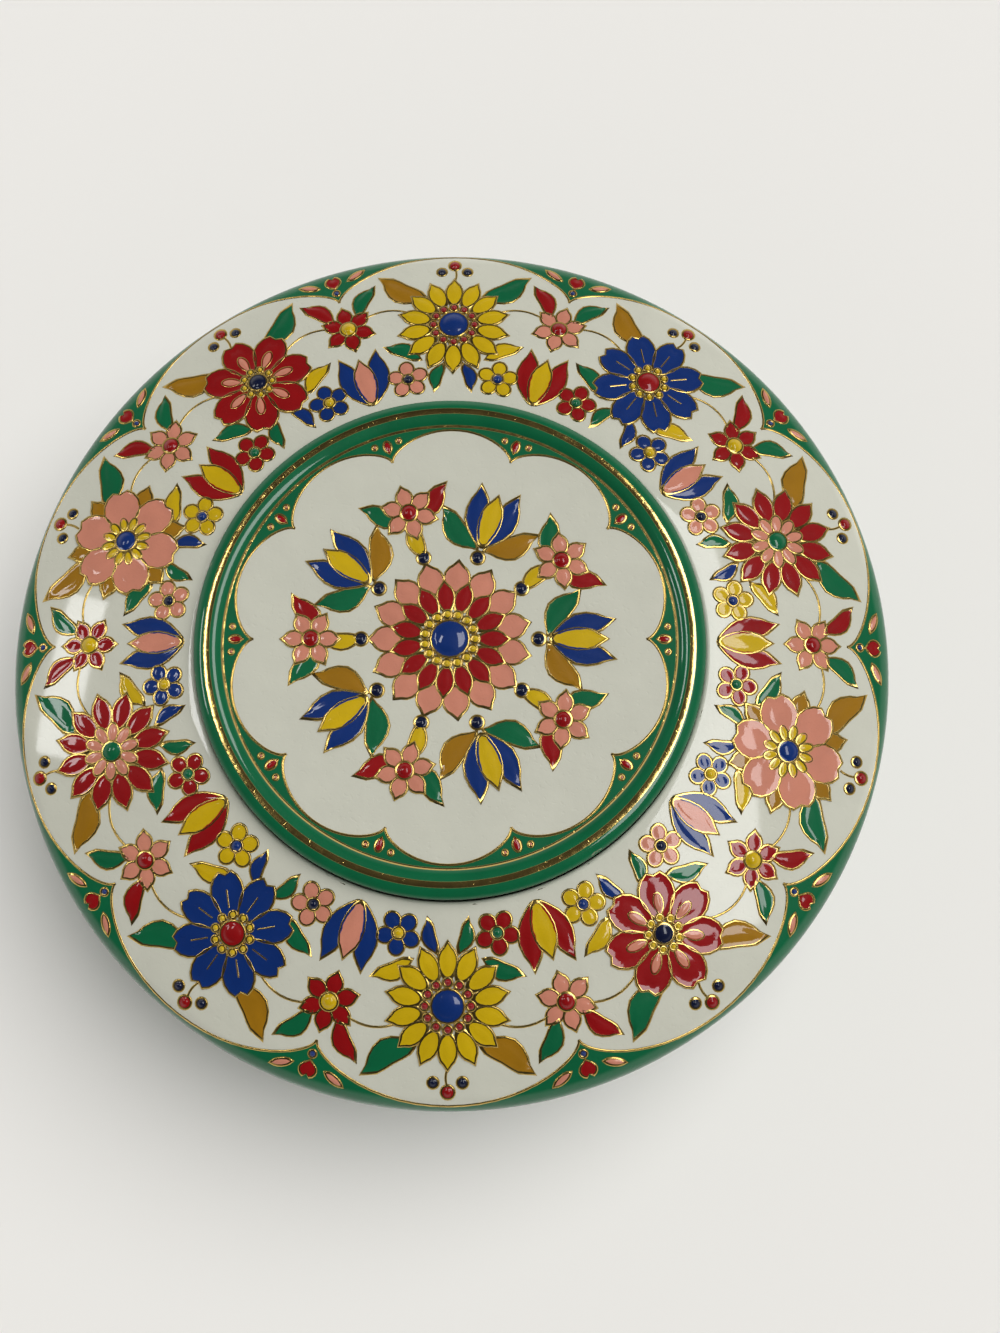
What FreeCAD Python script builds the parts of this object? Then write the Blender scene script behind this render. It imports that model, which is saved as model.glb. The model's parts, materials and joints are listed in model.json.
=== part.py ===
import FreeCAD, Part
import math
import os
from enum import IntEnum

import Sketcher

# A round saucer tin of drawn tinplate: a lid that drops into the mouth, a sloping shoulder
# round it, and a deep bowl held in the folded rim of the shoulder.
# Millimetres, +Z up. The origin is the middle of the foot, on the table.

doc = FreeCAD.newDocument("saucer_tin")

DRIVING_SIZES = (
    ("tin_diameter", "230", "across the widest line of the shoulder"),
    ("tin_height", "70", "table to the crest of the bead on the lid"),
    ("sheet", "0.4", "thickness of the tinplate"),
    ("lid_diameter", "129", "across the outside of the lid's skirt"),
    ("bead_inset", "3.5", "crest of the bead, inwards from the outside of the skirt"),
    ("bead_section", "5.85", "radius of the bead's rounded section"),
    ("bead_height", "1.4", "crest of the bead above the lid's panel"),
    ("lid_corner", "0.8", "outer radius between the bead and the skirt"),
    ("lid_curl", "1.6", "diameter of the curl along the skirt's edge"),
    ("lid_stand", "4.2", "crest of the bead above the mouth's edge"),
    ("lid_clearance", "0.35", "between the skirt and the mouth's wall"),
    ("seat_gap", "0.3", "between the lid's curl and the mouth's curl"),
    ("mouth_bend", "1", "outer radius of the mouth's rounded edge"),
    ("mouth_curl", "2.4", "diameter of the curl that the lid rests on"),
    ("crown_radius", "362", "section radius of the sloping shoulder"),
    ("edge_roll", "5.5", "section radius of the shoulder's outer edge"),
    ("edge_drop", "17.5", "widest line below the crest of the bead"),
    ("rim_depth", "4", "widest line to the underside of the rim's fold"),
    ("fold_width", "3.4", "rim's fold, inwards from the outside of the rim"),
    ("seam_bend", "0.5", "inner radius of the bends in the seam"),
    ("seam_clearance", "0.1", "between the bowl's edge and the rim"),
    ("bowl_inset", "4.4", "top of the bowl's wall, inwards from the widest line"),
    ("foot_diameter", "120", "outside of the flat ring that it stands on"),
    ("foot_width", "6", "width of that flat ring"),
    ("base_recess", "1.5", "middle of the base above the table"),
    ("base_bend", "1.5", "radius of the two bends at the recess"),
)

sizes = doc.addObject("Spreadsheet::Sheet", "Sizes")
for row, (alias, value, meaning) in enumerate(DRIVING_SIZES, start=1):
    sizes.set(f"A{row}", meaning)
    sizes.set(f"B{row}", value)
    sizes.setAlias(f"B{row}", alias)
doc.recompute()

# Radii and heights that several pieces share, as expressions on the sheet.
TIN_RADIUS = "Sizes.tin_diameter / 2"
LID_RADIUS = "Sizes.lid_diameter / 2"
MOUTH_RADIUS = f"{LID_RADIUS} + Sizes.lid_clearance"
WIDEST_LINE = "Sizes.tin_height - Sizes.edge_drop"
SKIRT_END = f"{WIDEST_LINE} + Sizes.mouth_curl / 2 + Sizes.seat_gap + Sizes.lid_curl / 2"
FOLD_UNDERSIDE = f"{WIDEST_LINE} - Sizes.rim_depth"
FLANGE_UNDERSIDE = f"{FOLD_UNDERSIDE} + Sizes.sheet"
FLANGE_TOP = f"{FLANGE_UNDERSIDE} + Sizes.sheet"
BOWL_RADIUS = f"{TIN_RADIUS} - Sizes.bowl_inset"
FOOT_RADIUS = "Sizes.foot_diameter / 2"


class Spot(IntEnum):
    """The points of a sketch's line or arc."""
    START = 1
    END = 2
    CENTRE = 3


class Axis(IntEnum):
    """The sketch's own axes."""
    ACROSS = -1
    UP = -2


START, END, CENTRE = Spot
ORIGIN = (Axis.ACROSS, START)


def measure(expression):
    """The present value of an expression on the sheet."""
    return float(sizes.evalExpression(expression))


def point(across, up):
    """A place in the XZ plane from two expressions."""
    return FreeCAD.Vector(measure(across), measure(up), 0)


class Outline:
    """A closed outline in a body's XZ plane, whose sizes are bound to the sheet."""

    def __init__(self, body, name):
        planes = [feature for feature in body.Origin.OriginFeatures if feature.Role == "XZ_Plane"]
        self.sketch = body.newObject("Sketcher::SketchObject", name)
        self.sketch.AttachmentSupport = [(planes[0], "")]
        self.sketch.MapMode = "FlatFace"

    def level(self, start, end):
        """A line along X."""
        piece = self.sketch.addGeometry(Part.LineSegment(start, end), False)
        self.sketch.addConstraint(Sketcher.Constraint("Horizontal", piece))
        return piece

    def upright(self, start, end):
        """A line along Z."""
        piece = self.sketch.addGeometry(Part.LineSegment(start, end), False)
        self.sketch.addConstraint(Sketcher.Constraint("Vertical", piece))
        return piece

    def arc(self, centre, radius, first, last):
        """An arc from one angle to another, counter-clockwise in degrees, with its radius bound."""
        circle = Part.Circle(centre, FreeCAD.Vector(0, 0, 1), measure(radius))
        curve = Part.ArcOfCircle(circle, math.radians(first), math.radians(last))
        piece = self.sketch.addGeometry(curve, False)
        self.bind(Sketcher.Constraint("Radius", piece, measure(radius)), radius)
        return piece

    def free_arc(self, centre, radius, first, last):
        """An arc whose radius follows from what it touches."""
        circle = Part.Circle(centre, FreeCAD.Vector(0, 0, 1), radius)
        curve = Part.ArcOfCircle(circle, math.radians(first), math.radians(last))
        return self.sketch.addGeometry(curve, False)

    def bind(self, constraint, expression):
        """Add a dimension and tie it to the sheet."""
        index = self.sketch.addConstraint(constraint)
        self.sketch.setExpression(f"Constraints[{index}]", expression)

    def across(self, piece, spot, expression):
        """Fix how far a point is from the axis."""
        distance = Sketcher.Constraint("DistanceX", *ORIGIN, piece, spot, measure(expression))
        self.bind(distance, expression)

    def up(self, piece, spot, expression):
        """Fix how high a point is above the table."""
        height = Sketcher.Constraint("DistanceY", *ORIGIN, piece, spot, measure(expression))
        self.bind(height, expression)

    def meet(self, *ends):
        """Join two ends at a corner."""
        self.sketch.addConstraint(Sketcher.Constraint("Coincident", *ends))

    def flow(self, *ends):
        """Join two ends smoothly."""
        self.sketch.addConstraint(Sketcher.Constraint("Tangent", *ends))

    def on_axis(self, axis, piece, spot):
        self.sketch.addConstraint(Sketcher.Constraint("PointOnObject", piece, spot, axis))

    def same_height(self, *spots):
        self.sketch.addConstraint(Sketcher.Constraint("Horizontal", *spots))

    def same_distance(self, *spots):
        self.sketch.addConstraint(Sketcher.Constraint("Vertical", *spots))


def make_body(name):
    body = doc.addObject("PartDesign::Body", name)
    body.Label = name
    return body


def revolve(body, outline, name):
    """Turn an outline once round the tin's axis."""
    turned = body.newObject("PartDesign::Revolution", name)
    turned.Profile = outline.sketch
    turned.ReferenceAxis = (outline.sketch, ["V_Axis"])
    turned.Angle = 360
    doc.recompute()
    return turned


def draw_sheet(body, solid, open_height, name):
    """Leave only a skin of sheet thickness inside the solid, open at the flat face of that height."""
    height = measure(open_height)
    flat_faces = []
    for number, face in enumerate(solid.Shape.Faces, start=1):
        level_face = face.BoundBox.ZLength < Part.Precision.confusion()
        if level_face and math.isclose(face.BoundBox.ZMin, height):
            flat_faces.append(f"Face{number}")
    skin = body.newObject("PartDesign::Thickness", name)
    skin.Base = (solid, flat_faces)
    skin.Mode = "Skin"
    skin.Join = "Intersection"
    skin.Reversed = True
    skin.setExpression("Value", "Sizes.sheet")
    doc.recompute()
    return skin


def add_curl(body, name, wall_radius, wall_end, diameter):
    """Roll the lower end of an upright wall inwards through three quarters of a turn."""
    outline = Outline(body, f"{name}_section")
    outer = f"{diameter} / 2"
    inner = f"{diameter} / 2 - Sizes.sheet"
    middle = f"{wall_radius} - {outer}"
    centre = point(middle, wall_end)
    outside = outline.arc(centre, outer, 90, 360)
    inside = outline.arc(centre, inner, 90, 360)
    end_inside = point(middle, f"{wall_end} + {inner}")
    end_outside = point(middle, f"{wall_end} + {outer}")
    loose_end = outline.upright(end_inside, end_outside)
    wall_inside = point(f"{middle} + {inner}", wall_end)
    wall_outside = point(f"{middle} + {outer}", wall_end)
    wall_side = outline.level(wall_inside, wall_outside)
    outline.meet(loose_end, START, inside, START)
    outline.meet(loose_end, END, outside, START)
    outline.meet(wall_side, START, inside, END)
    outline.meet(wall_side, END, outside, END)
    outline.meet(inside, CENTRE, outside, CENTRE)
    outline.same_height(outside, CENTRE, outside, END)
    outline.same_distance(outside, CENTRE, outside, START)
    outline.across(outside, CENTRE, middle)
    outline.up(outside, CENTRE, wall_end)
    revolve(body, outline, name)


def add_hook(body, name, outer_radius, top, underside, reach):
    """Add an upright wall whose lower end is bent square and runs inwards to the reach."""
    outline = Outline(body, f"{name}_section")
    inner_radius = f"{outer_radius} - Sizes.sheet"
    upper_side = f"{underside} + Sizes.sheet"
    inner_bend = "Sizes.seam_bend"
    outer_bend = "(Sizes.seam_bend + Sizes.sheet)"
    bend_across = f"{outer_radius} - {outer_bend}"
    bend_up = f"{underside} + {outer_bend}"
    bend_centre = point(bend_across, bend_up)
    wall_top = outline.level(point(inner_radius, top), point(outer_radius, top))
    outside = outline.upright(point(outer_radius, top), point(outer_radius, bend_up))
    outer_corner = outline.arc(bend_centre, outer_bend, -90, 0)
    below = outline.level(point(bend_across, underside), point(reach, underside))
    edge = outline.upright(point(reach, underside), point(reach, upper_side))
    above = outline.level(point(reach, upper_side), point(bend_across, upper_side))
    inner_corner = outline.arc(bend_centre, inner_bend, -90, 0)
    inside = outline.upright(point(inner_radius, bend_up), point(inner_radius, top))
    outline.meet(wall_top, END, outside, START)
    outline.flow(outside, END, outer_corner, END)
    outline.flow(outer_corner, START, below, START)
    outline.meet(below, END, edge, START)
    outline.meet(edge, END, above, START)
    outline.flow(above, END, inner_corner, START)
    outline.flow(inner_corner, END, inside, START)
    outline.meet(inside, END, wall_top, START)
    outline.across(outside, START, outer_radius)
    outline.up(outside, START, top)
    outline.across(inside, END, inner_radius)
    outline.across(edge, START, reach)
    outline.up(edge, START, underside)
    outline.up(edge, END, upper_side)
    revolve(body, outline, name)


def make_lid():
    """A disc with a rounded bead inside its edge, a sunk panel, a skirt and a curled-in edge."""
    body = make_body("lid")
    outline = Outline(body, "lid_section")
    panel_height = "Sizes.tin_height - Sizes.bead_height"
    bead_across = f"{LID_RADIUS} - Sizes.bead_inset"
    bead_up = "Sizes.tin_height - Sizes.bead_section"
    # The corner's arc touches the bead's from inside, so their centres are one arm apart.
    corner_across = f"{LID_RADIUS} - Sizes.lid_corner"
    corner_arm = "(Sizes.bead_section - Sizes.lid_corner)"
    corner_reach = "(Sizes.bead_inset - Sizes.lid_corner)"
    corner_turn = math.degrees(math.acos(measure(corner_reach) / measure(corner_arm)))
    corner_up = f"{bead_up} + sqrt({corner_arm}^2 - {corner_reach}^2)"
    foot_drop = "(Sizes.bead_section - Sizes.bead_height)"
    foot_across = f"{bead_across} - sqrt(Sizes.bead_section^2 - {foot_drop}^2)"
    half_bead = math.degrees(math.acos(measure(foot_drop) / measure("Sizes.bead_section")))
    panel = outline.level(point("0", panel_height), point(foot_across, panel_height))
    bead = outline.arc(point(bead_across, bead_up), "Sizes.bead_section", corner_turn, 90 + half_bead)
    corner = outline.arc(point(corner_across, corner_up), "Sizes.lid_corner", 0, corner_turn)
    skirt = outline.upright(point(LID_RADIUS, corner_up), point(LID_RADIUS, SKIRT_END))
    underside = outline.level(point(LID_RADIUS, SKIRT_END), point("0", SKIRT_END))
    axis = outline.upright(point("0", SKIRT_END), point("0", panel_height))
    outline.meet(panel, END, bead, END)
    outline.flow(bead, START, corner, END)
    outline.flow(corner, START, skirt, START)
    outline.meet(skirt, END, underside, START)
    outline.meet(underside, END, axis, START)
    outline.meet(axis, END, panel, START)
    outline.on_axis(Axis.UP, panel, START)
    outline.up(panel, START, panel_height)
    outline.across(bead, CENTRE, bead_across)
    outline.up(bead, CENTRE, bead_up)
    outline.across(skirt, END, LID_RADIUS)
    outline.up(skirt, END, SKIRT_END)
    solid = revolve(body, outline, "lid_solid")
    draw_sheet(body, solid, SKIRT_END, "lid_skin")
    add_curl(body, "lid_edge_curl", LID_RADIUS, SKIRT_END, "Sizes.lid_curl")
    return body


def make_shoulder():
    """The sloping ring, with the mouth's wall and curl inside and the folded rim outside."""
    body = make_body("shoulder")
    outline = Outline(body, "shoulder_section")
    bend_across = f"{MOUTH_RADIUS} + Sizes.mouth_bend"
    bend_up = "Sizes.tin_height - Sizes.lid_stand - Sizes.mouth_bend"
    roll_across = f"{TIN_RADIUS} - Sizes.edge_roll"
    bend_centre = point(bend_across, bend_up)
    roll_centre = point(roll_across, WIDEST_LINE)
    # The crown touches the bend and the roll from above, so its centre is known from the
    # triangle of the three centres.
    bend_arm = measure("Sizes.crown_radius - Sizes.mouth_bend")
    roll_arm = measure("Sizes.crown_radius - Sizes.edge_roll")
    span = roll_centre - bend_centre
    along = (bend_arm ** 2 - roll_arm ** 2 + span.Length ** 2) / (2 * span.Length)
    below = math.sqrt(bend_arm ** 2 - along ** 2)
    ahead = span / span.Length
    downwards = FreeCAD.Vector(ahead.y, -ahead.x, 0)
    crown_centre = bend_centre + ahead * along + downwards * below
    to_bend = bend_centre - crown_centre
    to_roll = roll_centre - crown_centre
    bend_angle = math.degrees(math.atan2(to_bend.y, to_bend.x))
    roll_angle = math.degrees(math.atan2(to_roll.y, to_roll.x))
    mouth_wall = outline.upright(point(MOUTH_RADIUS, WIDEST_LINE), point(MOUTH_RADIUS, bend_up))
    bend = outline.arc(bend_centre, "Sizes.mouth_bend", bend_angle, 180)
    crown = outline.arc(crown_centre, "Sizes.crown_radius", roll_angle, bend_angle)
    roll = outline.arc(roll_centre, "Sizes.edge_roll", 0, roll_angle)
    underside = outline.level(point(TIN_RADIUS, WIDEST_LINE), point(MOUTH_RADIUS, WIDEST_LINE))
    outline.flow(mouth_wall, END, bend, END)
    outline.flow(bend, START, crown, END)
    outline.flow(crown, START, roll, END)
    outline.meet(roll, START, underside, START)
    outline.meet(underside, END, mouth_wall, START)
    outline.across(mouth_wall, START, MOUTH_RADIUS)
    outline.up(mouth_wall, START, WIDEST_LINE)
    outline.up(bend, CENTRE, bend_up)
    outline.same_height(roll, CENTRE, roll, START)
    outline.across(roll, START, TIN_RADIUS)
    solid = revolve(body, outline, "shoulder_solid")
    draw_sheet(body, solid, WIDEST_LINE, "shoulder_skin")
    add_curl(body, "mouth_curl", f"{MOUTH_RADIUS} + Sizes.sheet", WIDEST_LINE, "Sizes.mouth_curl")
    fold_reach = f"{TIN_RADIUS} - Sizes.fold_width"
    add_hook(body, "rim_fold", TIN_RADIUS, WIDEST_LINE, FOLD_UNDERSIDE, fold_reach)
    return body


def make_bowl():
    """The deep lower shell, with a recessed base and an edge turned out and up into the rim."""
    body = make_body("bowl")
    outline = Outline(body, "bowl_section")
    foot_inside = f"{FOOT_RADIUS} - Sizes.foot_width"
    half_recess = measure("Sizes.base_bend - Sizes.base_recess / 2")
    step_turn = math.degrees(math.acos(half_recess / measure("Sizes.base_bend")))
    step_width = "2 * sqrt(Sizes.base_bend^2 - (Sizes.base_bend - Sizes.base_recess / 2)^2)"
    panel_end = f"{foot_inside} - {step_width}"
    wall_reach = measure(f"{BOWL_RADIUS} - {FOOT_RADIUS}")
    wall_rise = measure(FLANGE_TOP)
    wall_section = (wall_reach ** 2 + wall_rise ** 2) / (2 * wall_rise)
    wall_centre = FreeCAD.Vector(measure(FOOT_RADIUS), wall_section, 0)
    wall_end = math.degrees(math.atan2(wall_rise - wall_section, wall_reach))
    panel = outline.level(point("0", "Sizes.base_recess"), point(panel_end, "Sizes.base_recess"))
    upper_centre = point(panel_end, "Sizes.base_recess - Sizes.base_bend")
    upper_step = outline.arc(upper_centre, "Sizes.base_bend", 90 - step_turn, 90)
    lower_centre = point(foot_inside, "Sizes.base_bend")
    lower_step = outline.arc(lower_centre, "Sizes.base_bend", 270 - step_turn, 270)
    foot = outline.level(point(foot_inside, "0"), point(FOOT_RADIUS, "0"))
    wall = outline.free_arc(wall_centre, wall_section, -90, wall_end)
    top = outline.level(point(BOWL_RADIUS, FLANGE_TOP), point("0", FLANGE_TOP))
    axis = outline.upright(point("0", FLANGE_TOP), point("0", "Sizes.base_recess"))
    outline.flow(panel, END, upper_step, END)
    outline.flow(upper_step, START, lower_step, START)
    outline.flow(lower_step, END, foot, START)
    outline.flow(foot, END, wall, START)
    outline.meet(wall, END, top, START)
    outline.meet(top, END, axis, START)
    outline.meet(axis, END, panel, START)
    outline.on_axis(Axis.UP, panel, START)
    outline.up(panel, START, "Sizes.base_recess")
    outline.on_axis(Axis.ACROSS, foot, END)
    outline.across(foot, START, foot_inside)
    outline.across(foot, END, FOOT_RADIUS)
    outline.across(wall, END, BOWL_RADIUS)
    outline.up(wall, END, FLANGE_TOP)
    solid = revolve(body, outline, "bowl_solid")
    draw_sheet(body, solid, FLANGE_TOP, "bowl_skin")
    # The upstand ends just under the inside of the shoulder's rolled edge, which traps it.
    roll_inside = "(Sizes.edge_roll - Sizes.sheet)"
    headroom = f"sqrt({roll_inside}^2 - ({roll_inside} - Sizes.seam_clearance)^2)"
    edge_radius = f"{TIN_RADIUS} - Sizes.sheet - Sizes.seam_clearance"
    edge_top = f"{WIDEST_LINE} + {headroom} - Sizes.seam_clearance"
    flange_reach = f"{BOWL_RADIUS} - Sizes.sheet / 2"
    add_hook(body, "bowl_edge", edge_radius, edge_top, FLANGE_UNDERSIDE, flange_reach)
    return body


pieces = [make_lid(), make_shoulder(), make_bowl()]
doc.recompute()

for item in doc.Objects:
    if "Invalid" in item.State or "Error" in item.State:
        raise RuntimeError(f"{item.Label} did not build: {item.State}")
for piece in pieces:
    if piece.Shape.isNull() or not piece.Shape.isValid():
        raise RuntimeError(f"{piece.Label} has no valid shape")

os.makedirs("parts", exist_ok=True)
for piece in pieces:
    piece.Shape.exportStep(f"parts/{piece.Label}.step")
    print(piece.Label, len(piece.Shape.Solids), "solid", round(piece.Shape.Volume), "mm3")
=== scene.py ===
# %% [markdown]
# # A saucer tin with a printed lid
# The object is a round keepsake tin of drawn tinplate: a lid that drops into the mouth, a
# sloping shoulder round it, and a deep bowl below. The CAD model comes in first as a fixed
# frame, so that every new piece is made at its real size and place, in metres with +Z up.

# %% Load the frame
import json
import math

import bmesh
import bpy
import numpy as np
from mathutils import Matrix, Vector

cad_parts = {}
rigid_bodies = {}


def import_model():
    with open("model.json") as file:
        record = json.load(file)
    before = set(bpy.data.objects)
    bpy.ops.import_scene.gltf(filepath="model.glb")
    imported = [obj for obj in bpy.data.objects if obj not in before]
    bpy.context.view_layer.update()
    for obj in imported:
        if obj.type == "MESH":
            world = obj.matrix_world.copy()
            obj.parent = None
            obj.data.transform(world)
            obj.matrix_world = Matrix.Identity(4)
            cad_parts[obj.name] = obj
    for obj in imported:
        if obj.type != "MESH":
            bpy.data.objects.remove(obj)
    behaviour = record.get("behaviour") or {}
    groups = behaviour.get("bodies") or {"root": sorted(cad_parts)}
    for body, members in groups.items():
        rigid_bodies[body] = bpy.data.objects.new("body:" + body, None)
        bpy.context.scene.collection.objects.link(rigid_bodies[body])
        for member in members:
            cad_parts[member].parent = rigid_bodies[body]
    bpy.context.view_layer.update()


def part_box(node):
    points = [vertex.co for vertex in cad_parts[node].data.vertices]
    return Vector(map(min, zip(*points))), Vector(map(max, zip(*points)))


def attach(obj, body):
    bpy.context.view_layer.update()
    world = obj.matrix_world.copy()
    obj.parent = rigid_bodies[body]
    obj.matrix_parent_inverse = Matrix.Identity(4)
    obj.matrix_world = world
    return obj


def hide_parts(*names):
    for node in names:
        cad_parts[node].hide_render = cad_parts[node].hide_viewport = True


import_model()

# %% [markdown]
# ## The sizes of the sheet-metal shells
# The frame gives the large sizes. The small radii of the beads, bends and curls are named
# where they are used, because a box can't tell them. An outline is a list of (distance from
# the axis, height), and each of its round stretches is an arc.

# %% Sizes and arcs
MM = 0.001
lid_low, lid_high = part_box("lid")
shoulder_low, shoulder_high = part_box("shoulder")
bowl_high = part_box("bowl")[1]

SHEET = 0.4 * MM
LID_RADIUS = lid_high.x
TIN_RADIUS = shoulder_high.x
CREST = lid_high.z


def arc(centre, radius, first, last, steps):
    """Points from one angle to another, in degrees."""
    angles = np.radians(np.linspace(first, last, steps + 1))
    return [(centre[0] + radius * math.cos(a), centre[1] + radius * math.sin(a)) for a in angles]


print("lid radius", round(LID_RADIUS / MM, 2), "tin radius", round(TIN_RADIUS / MM, 2), "mm")

# %% [markdown]
# ## The lid's outline
# From the middle outwards, the lid is a flat panel, a rounded bead that stands a little above
# it, a small corner, an upright skirt and a curl that hides the cut edge. Both sides of the
# sheet could be drawn, but then every radius would be needed twice. So only the outer side is
# drawn, and the thickness comes later.

# %% Lid outline
BEAD_INSET = 3.5 * MM
BEAD_SECTION = 5.85 * MM
BEAD_HEIGHT = 1.4 * MM
LID_CORNER = 0.8 * MM
LID_CURL = 0.8 * MM

PANEL = CREST - BEAD_HEIGHT
BEAD_RADIUS = LID_RADIUS - BEAD_INSET
bead_centre = (BEAD_RADIUS, CREST - BEAD_SECTION)
half_bead = math.degrees(math.acos((BEAD_SECTION - BEAD_HEIGHT) / BEAD_SECTION))
corner_turn = math.degrees(math.acos((BEAD_INSET - LID_CORNER) / (BEAD_SECTION - LID_CORNER)))
corner_rise = (BEAD_SECTION - LID_CORNER) * math.sin(math.radians(corner_turn))
corner_centre = (LID_RADIUS - LID_CORNER, bead_centre[1] + corner_rise)
lid_curl_centre = (LID_RADIUS - LID_CURL, lid_low.z + LID_CURL)

bead = arc(bead_centre, BEAD_SECTION, 90 + half_bead, corner_turn, steps=24)
lid_outline = [(0, PANEL)] + bead
lid_outline += arc(corner_centre, LID_CORNER, corner_turn, 0, steps=6)[1:]
lid_outline += arc(lid_curl_centre, LID_CURL, 0, -270, steps=14)
BEAD_FOOT = bead[0][0]
print("bead foot", round(BEAD_FOOT / MM, 2), "mm from the axis")

# %% [markdown]
# ## The shoulder's outline
# The shoulder starts with the curl that the lid rests on, climbs the mouth's wall, bends over
# into a long shallow crown and rolls down into the rim, which folds under to hold the bowl.
# The crown could be a curve drawn by eye, but a press tool has true radii. So it is one large
# arc that touches the bend and the roll, and its centre comes from the triangle of the three
# centres.

# %% Shoulder outline
LID_CLEARANCE = 0.35 * MM
MOUTH_BEND = 1 * MM
MOUTH_CURL = 1.2 * MM
CROWN_RADIUS = 362 * MM
EDGE_ROLL = 5.5 * MM
RIM_DEPTH = 4 * MM
FOLD_WIDTH = 3.4 * MM
FOLD_BEND = 0.9 * MM

MOUTH_RADIUS = LID_RADIUS + LID_CLEARANCE
WIDEST = shoulder_low.z + RIM_DEPTH
mouth_curl_centre = (MOUTH_RADIUS + SHEET - MOUTH_CURL, WIDEST)
bend_centre = Vector((MOUTH_RADIUS + MOUTH_BEND, shoulder_high.z - MOUTH_BEND))
roll_centre = Vector((TIN_RADIUS - EDGE_ROLL, WIDEST))
bend_arm = CROWN_RADIUS - MOUTH_BEND
roll_arm = CROWN_RADIUS - EDGE_ROLL
span = roll_centre - bend_centre
along = (bend_arm ** 2 - roll_arm ** 2 + span.length_squared) / (2 * span.length)
below = math.sqrt(bend_arm ** 2 - along ** 2)
ahead = span.normalized()
crown_centre = bend_centre + ahead * along + Vector((ahead.y, -ahead.x)) * below
bend_end = math.degrees(math.atan2(*reversed(bend_centre - crown_centre)))
roll_start = math.degrees(math.atan2(*reversed(roll_centre - crown_centre)))

mouth_bend = arc(bend_centre, MOUTH_BEND, 180, bend_end, steps=8)
crown = arc(crown_centre, CROWN_RADIUS, bend_end, roll_start, steps=24)
edge_roll = arc(roll_centre, EDGE_ROLL, roll_start, 0, steps=20)
top_line = mouth_bend + crown[1:] + edge_roll[1:]
fold_centre = (TIN_RADIUS - FOLD_BEND, shoulder_low.z + FOLD_BEND)
shoulder_outline = arc(mouth_curl_centre, MOUTH_CURL - SHEET, 90, 360, steps=14) + top_line
shoulder_outline += arc(fold_centre, FOLD_BEND, 0, -90, steps=6)
shoulder_outline += [(TIN_RADIUS - FOLD_WIDTH, shoulder_low.z)]
print("crown falls", round((crown[0][1] - crown[-1][1]) / MM, 2), "mm")

# %% [markdown]
# ## The bowl's outline
# The base is pressed up a little inside its foot ring, so that the tin stands on the ring
# alone. The wall is one arc that leaves the foot level, and its edge turns out and up into
# the rim's fold. The wall's radius follows from its reach and its rise, so it isn't typed.

# %% Bowl outline
FOOT_RADIUS = 60 * MM
FOOT_WIDTH = 6 * MM
BASE_RECESS = 1.5 * MM
BASE_BEND = 1.5 * MM
BOWL_INSET = 4.4 * MM

foot_inside = FOOT_RADIUS - FOOT_WIDTH
step_turn = math.degrees(math.acos(1 - BASE_RECESS / 2 / BASE_BEND))
step_width = 2 * BASE_BEND * math.sin(math.radians(step_turn))
step_top = (foot_inside - step_width, BASE_RECESS - BASE_BEND)
step_bottom = (foot_inside, BASE_BEND)
flange = shoulder_low.z + SHEET
wall_reach = TIN_RADIUS - BOWL_INSET - FOOT_RADIUS
wall_rise = flange + SHEET
wall_section = (wall_reach ** 2 + wall_rise ** 2) / (2 * wall_rise)
wall_end = -math.degrees(math.asin((wall_section - flange) / wall_section))
edge_centre = (bowl_high.x - FOLD_BEND, flange + FOLD_BEND)

bowl_outline = [(0, BASE_RECESS)]
bowl_outline += arc(step_top, BASE_BEND, 90, 90 - step_turn, steps=5)
bowl_outline += arc(step_bottom, BASE_BEND, 270 - step_turn, 270, steps=5)[1:]
bowl_outline += arc((FOOT_RADIUS, wall_section), wall_section, -90, wall_end, steps=36)
bowl_outline += arc(edge_centre, FOLD_BEND, -90, 0, steps=6)
bowl_outline += [(bowl_high.x, bowl_high.z)]
print("bowl wall radius", round(wall_section / MM, 2), "mm")

# %% [markdown]
# ## Turning a shell
# A press draws the real shells from flat sheet. Here one point is extruded along the outline
# and the line is spun round the axis. A Screw modifier could do the same, but Spin leaves
# plain faces at once. The side that is drawn is the printed side. Solidify then gives the
# sheet its thickness inwards, with a second finish on the inner side, and for that the two
# material slots have to be there first.

# %% Turn and thicken
ROUND_STEPS = 256
MERGE = 0.001 * MM
SMOOTH_ANGLE = math.radians(35)


def start(name, adder, **settings):
    """Add a primitive by itself at the origin and go into edit mode, with all of it selected."""
    bpy.ops.object.select_all(action="DESELECT")
    adder(**settings)
    piece = bpy.context.object
    piece.name = name
    piece.data.name = name
    bpy.ops.object.mode_set(mode="EDIT")
    bpy.ops.mesh.select_mode(type="VERT")
    bpy.ops.mesh.select_all(action="SELECT")
    return piece


def draw_line(name, places):
    """Shrink a primitive to one point and extrude it from place to place."""
    piece = start(name, bpy.ops.mesh.primitive_plane_add, size=MM)
    bpy.ops.mesh.merge(type="CENTER")
    places = [Vector(place) for place in places]
    bpy.ops.transform.translate(value=places[0])
    for here, there in zip(places, places[1:]):
        bpy.ops.mesh.extrude_region_move(TRANSFORM_OT_translate={"value": there - here})
    bpy.ops.mesh.select_all(action="SELECT")
    return piece


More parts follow.
